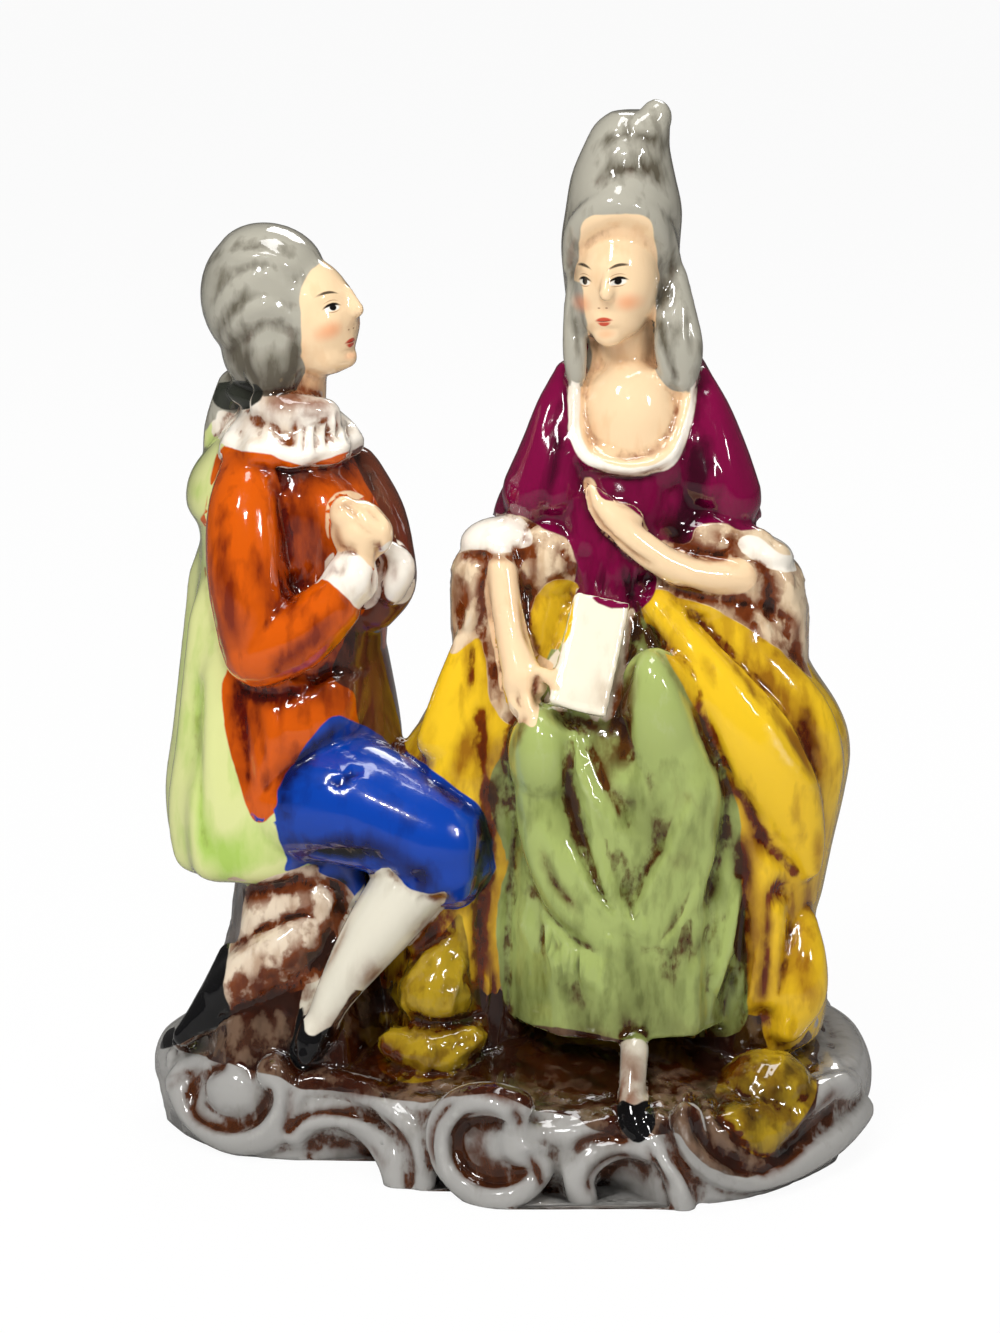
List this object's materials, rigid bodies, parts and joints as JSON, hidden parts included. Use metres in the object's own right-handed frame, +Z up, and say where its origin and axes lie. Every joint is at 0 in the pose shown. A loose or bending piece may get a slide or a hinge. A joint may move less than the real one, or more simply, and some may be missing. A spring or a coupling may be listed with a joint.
{
  "type": "courting couple figurine",
  "caption": "Small porcelain figurine of a kneeling gentleman courting a seated lady with a letter, on a scrolled rococo base.",
  "frame": {"origin": "middle of the flat underside of the base", "axes": "+Z up; the front faces -Y; the kneeling man is at -X and the seated lady at +X"},
  "size_m": [0.053, 0.0388, 0.0754],
  "materials": {
    "glazed_porcelain": "hand-painted colours with a mottled brown wash under a thick glossy clear glaze"
  },
  "bodies": {
    "root": {"courting_couple": "glazed_porcelain"}
  },
  "joints": []
}
